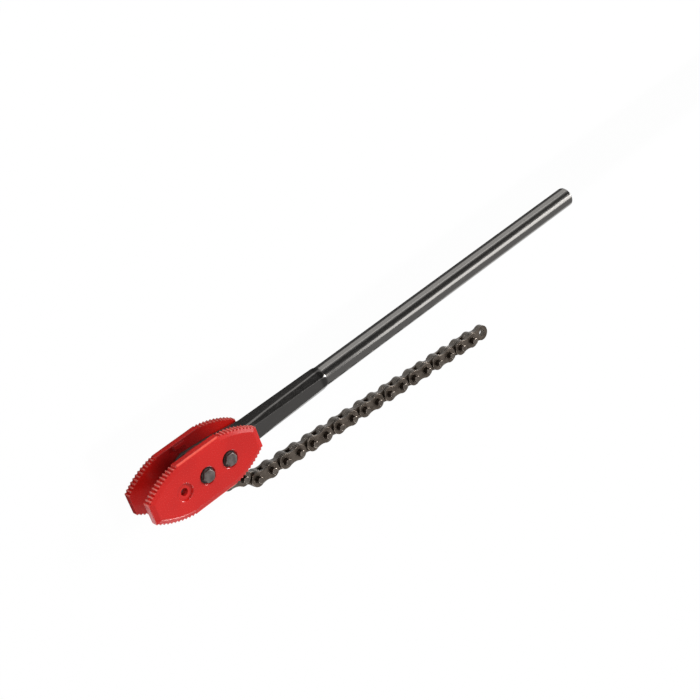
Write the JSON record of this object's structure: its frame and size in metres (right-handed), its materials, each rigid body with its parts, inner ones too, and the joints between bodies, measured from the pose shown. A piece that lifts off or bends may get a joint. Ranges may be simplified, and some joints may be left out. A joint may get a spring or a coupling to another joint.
{
  "type": "chain wrench",
  "caption": "Chain wrench with double-ended toothed jaws bolted to a round forged bar handle and a long-pinned leaf chain swinging from an anchor link.",
  "frame": {"origin": "axis of the open front bolt hole, in the plane halfway between the jaws", "axes": "+X along the handle towards its end, +Z along the bolts towards their heads, +Y across the jaws, away from the side the chain lies on"},
  "size_m": [0.656, 0.1195, 0.0495],
  "materials": {
    "jaw_red": "glossy red enamel",
    "handle_black": "glossy black lacquer",
    "bolt_steel": "dark oxide",
    "chain_steel": "dark oiled steel",
    "sleeve_steel": "oiled steel"
  },
  "bodies": {
    "tool": {"handle": "handle_black", "upper_jaw": "jaw_red", "lower_jaw": "jaw_red", "middle_bolt": "bolt_steel", "rear_bolt": "bolt_steel", "middle_washer": "bolt_steel", "rear_washer": "bolt_steel", "pivot_sleeve": "sleeve_steel"},
    "anchor": {"anchor_link": "chain_steel"},
    "link_01": {"outer_plates_01": "chain_steel", "pins_01": "bolt_steel"},
    "link_02": {"inner_plates_01": "chain_steel"},
    "link_03": {"outer_plates_02": "chain_steel", "pins_02": "bolt_steel"},
    "link_04": {"inner_plates_02": "chain_steel"},
    "link_05": {"outer_plates_03": "chain_steel", "pins_03": "bolt_steel"},
    "link_06": {"inner_plates_03": "chain_steel"},
    "link_07": {"outer_plates_04": "chain_steel", "pins_04": "bolt_steel"},
    "link_08": {"inner_plates_04": "chain_steel"},
    "link_09": {"outer_plates_05": "chain_steel", "pins_05": "bolt_steel"},
    "link_10": {"inner_plates_05": "chain_steel"},
    "link_11": {"outer_plates_06": "chain_steel", "pins_06": "bolt_steel"},
    "link_12": {"inner_plates_06": "chain_steel"},
    "link_13": {"outer_plates_07": "chain_steel", "pins_07": "bolt_steel"},
    "link_14": {"inner_plates_07": "chain_steel"},
    "link_15": {"outer_plates_08": "chain_steel", "pins_08": "bolt_steel"},
    "link_16": {"inner_plates_08": "chain_steel"},
    "link_17": {"outer_plates_09": "chain_steel", "pins_09": "bolt_steel"},
    "link_18": {"inner_plates_09": "chain_steel"},
    "link_19": {"outer_plates_10": "chain_steel", "pins_10": "bolt_steel"},
    "link_20": {"inner_plates_10": "chain_steel"}
  },
  "joints": [
    {"name": "anchor_pivot", "type": "hinge", "parent": "tool", "child": "anchor", "pos_m": [0.029, 0, 0], "axis": [0, 0, 1], "range_deg": [-250, 3]},
    {"name": "link_01_pin", "type": "hinge", "parent": "anchor", "child": "link_01", "pos_m": [0.05431, -0.03359, 0], "axis": [0, 0, -1], "range_deg": [-8, 35]},
    {"name": "link_02_pin", "type": "hinge", "parent": "link_01", "child": "link_02", "pos_m": [0.0721, -0.04042, 0], "axis": [0, 0, 1], "range_deg": [-35, 9]},
    {"name": "link_03_pin", "type": "hinge", "parent": "link_02", "child": "link_03", "pos_m": [0.08731, -0.05189, 0], "axis": [0, 0, -1], "range_deg": [-9, 35]},
    {"name": "link_04_pin", "type": "hinge", "parent": "link_03", "child": "link_04", "pos_m": [0.10629, -0.05351, 0], "axis": [0, 0, 1], "range_deg": [-35, 10]},
    {"name": "link_05_pin", "type": "hinge", "parent": "link_04", "child": "link_05", "pos_m": [0.12527, -0.05514, 0], "axis": [0, 0, -1], "range_deg": [-10, 35]},
    {"name": "link_06_pin", "type": "hinge", "parent": "link_05", "child": "link_06", "pos_m": [0.14425, -0.05677, 0], "axis": [0, 0, 1], "range_deg": [-35, 11]},
    {"name": "link_07_pin", "type": "hinge", "parent": "link_06", "child": "link_07", "pos_m": [0.16323, -0.05839, 0], "axis": [0, 0, -1], "range_deg": [-12, 35]},
    {"name": "link_08_pin", "type": "hinge", "parent": "link_07", "child": "link_08", "pos_m": [0.18222, -0.06002, 0], "axis": [0, 0, 1], "range_deg": [-35, 13]},
    {"name": "link_09_pin", "type": "hinge", "parent": "link_08", "child": "link_09", "pos_m": [0.2012, -0.06165, 0], "axis": [0, 0, -1], "range_deg": [-14, 35]},
    {"name": "link_10_pin", "type": "hinge", "parent": "link_09", "child": "link_10", "pos_m": [0.22018, -0.06328, 0], "axis": [0, 0, 1], "range_deg": [-35, 15]},
    {"name": "link_11_pin", "type": "hinge", "parent": "link_10", "child": "link_11", "pos_m": [0.23916, -0.0649, 0], "axis": [0, 0, -1], "range_deg": [-17, 35]},
    {"name": "link_12_pin", "type": "hinge", "parent": "link_11", "child": "link_12", "pos_m": [0.25814, -0.06653, 0], "axis": [0, 0, 1], "range_deg": [-35, 19]},
    {"name": "link_13_pin", "type": "hinge", "parent": "link_12", "child": "link_13", "pos_m": [0.27712, -0.06816, 0], "axis": [0, 0, -1], "range_deg": [-21, 36]},
    {"name": "link_14_pin", "type": "hinge", "parent": "link_13", "child": "link_14", "pos_m": [0.2961, -0.06978, 0], "axis": [0, 0, 1], "range_deg": [-40, 25]},
    {"name": "link_15_pin", "type": "hinge", "parent": "link_14", "child": "link_15", "pos_m": [0.31508, -0.07141, 0], "axis": [0, 0, -1], "range_deg": [-29, 44]},
    {"name": "link_16_pin", "type": "hinge", "parent": "link_15", "child": "link_16", "pos_m": [0.33406, -0.07304, 0], "axis": [0, 0, 1], "range_deg": [-51, 36]},
    {"name": "link_17_pin", "type": "hinge", "parent": "link_16", "child": "link_17", "pos_m": [0.35304, -0.07467, 0], "axis": [0, 0, -1], "range_deg": [-48, 63]},
    {"name": "link_18_pin", "type": "hinge", "parent": "link_17", "child": "link_18", "pos_m": [0.37202, -0.07629, 0], "axis": [0, 0, 1], "range_deg": [-75, 60]},
    {"name": "link_19_pin", "type": "hinge", "parent": "link_18", "child": "link_19", "pos_m": [0.391, -0.07792, 0], "axis": [0, 0, -1], "range_deg": [-60, 75]},
    {"name": "link_20_pin", "type": "hinge", "parent": "link_19", "child": "link_20", "pos_m": [0.40998, -0.07955, 0], "axis": [0, 0, 1], "range_deg": [-75, 60]}
  ]
}
